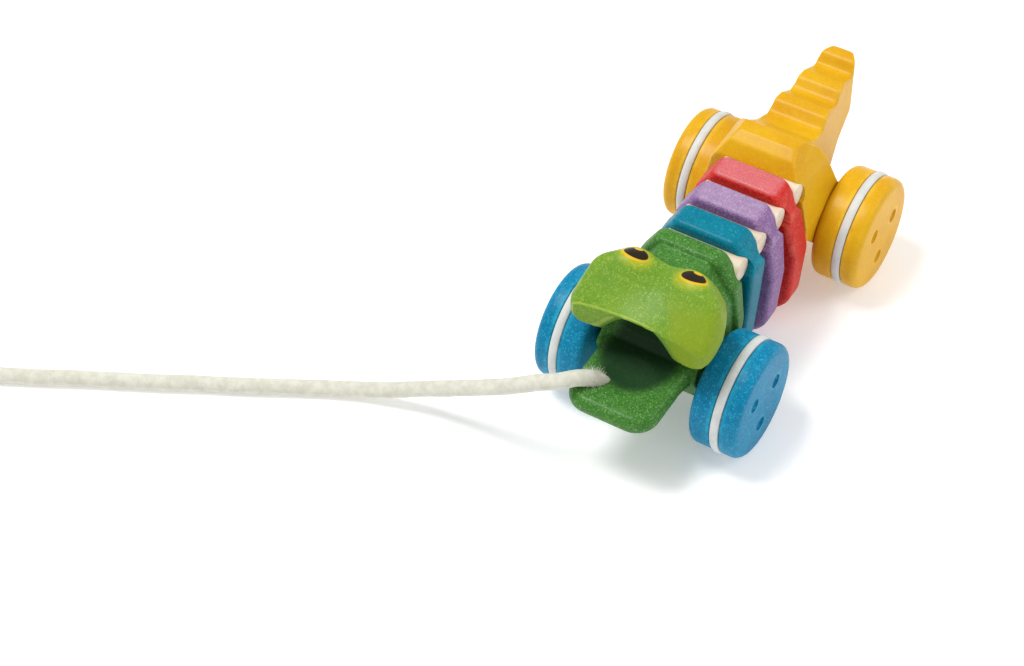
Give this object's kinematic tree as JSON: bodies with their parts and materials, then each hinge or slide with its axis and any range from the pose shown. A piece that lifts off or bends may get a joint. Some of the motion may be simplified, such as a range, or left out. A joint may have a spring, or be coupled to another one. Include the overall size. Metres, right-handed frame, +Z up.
{
  "type": "pull-along toy",
  "caption": "Painted wooden alligator pull-along toy: open-jawed head, rocking body segments on cross dowels and a stepped tail, on banded wheels, with a cotton pull cord.",
  "frame": {"origin": "on the floor, under the middle of the toy's length and width, measured without the pull cord", "axes": "+X forward towards the jaws, +Y to the toy's left, +Z up"},
  "size_m": [0.4099, 0.3719, 0.0835],
  "materials": {
    "lime_paint": "fine-speckled lime satin paint on wood",
    "green_paint": "fine-speckled green satin paint on wood",
    "teal_paint": "fine-speckled teal satin paint on wood",
    "purple_paint": "fine-speckled purple satin paint on wood",
    "red_paint": "red satin paint on wood",
    "yellow_paint": "yellow-orange satin paint on wood",
    "blue_paint": "fine-speckled blue satin paint on wood",
    "bare_wood": "unpainted pale wood dowel",
    "white_rubber": "matt off-white rubber band",
    "cotton": "soft undyed cotton cord",
    "paper_tie": "kraft paper tie"
  },
  "bodies": {
    "head": {"lower_jaw": "green_paint", "upper_jaw": "lime_paint", "jaw_pins": "bare_wood", "pivot_dowel_1": "bare_wood", "link_cord_neck": "cotton", "link_knot_front": "cotton", "cord_knot": "cotton", "pull_cord": "cotton", "cord_coil": "cotton", "coil_tie": "paper_tie", "end_knot": "cotton"},
    "front_wheels": {"front_axle": "bare_wood", "front_wheel_left": "blue_paint", "front_wheel_right": "blue_paint", "front_band_left": "white_rubber", "front_band_right": "white_rubber"},
    "teal_body": {"teal_segment": "teal_paint", "pivot_dowel_2": "bare_wood", "link_cord_teal": "cotton"},
    "purple_body": {"purple_segment": "purple_paint", "pivot_dowel_3": "bare_wood", "link_cord_purple": "cotton"},
    "red_body": {"red_segment": "red_paint", "pivot_dowel_4": "bare_wood", "link_cord_red": "cotton"},
    "tail": {"tail_body": "yellow_paint", "tail_plug": "yellow_paint", "link_cord_tail": "cotton", "link_knot_rear": "cotton"},
    "rear_wheels": {"rear_axle": "bare_wood", "rear_wheel_left": "yellow_paint", "rear_wheel_right": "yellow_paint", "rear_band_left": "white_rubber", "rear_band_right": "white_rubber"}
  },
  "joints": [
    {"name": "front_wheels_spin", "type": "hinge", "parent": "head", "child": "front_wheels", "pos_m": [0.0585, 0, 0.0262], "axis": [0, 1, 0], "continuous": true},
    {"name": "neck_rock", "type": "hinge", "parent": "head", "child": "teal_body", "pos_m": [0.03, 0, 0.0658], "axis": [0, -1, 0], "range_deg": [0, 3]},
    {"name": "teal_rock", "type": "hinge", "parent": "teal_body", "child": "purple_body", "pos_m": [0.0135, 0, 0.0658], "axis": [0, -1, 0], "range_deg": [0, 3]},
    {"name": "purple_rock", "type": "hinge", "parent": "purple_body", "child": "red_body", "pos_m": [-0.003, 0, 0.0658], "axis": [0, -1, 0], "range_deg": [0, 3]},
    {"name": "red_rock", "type": "hinge", "parent": "red_body", "child": "tail", "pos_m": [-0.0195, 0, 0.0658], "axis": [0, -1, 0], "range_deg": [0, 3]},
    {"name": "rear_wheels_spin", "type": "hinge", "parent": "tail", "child": "rear_wheels", "pos_m": [-0.0525, 0, 0.0262], "axis": [0, 1, 0], "continuous": true}
  ]
}
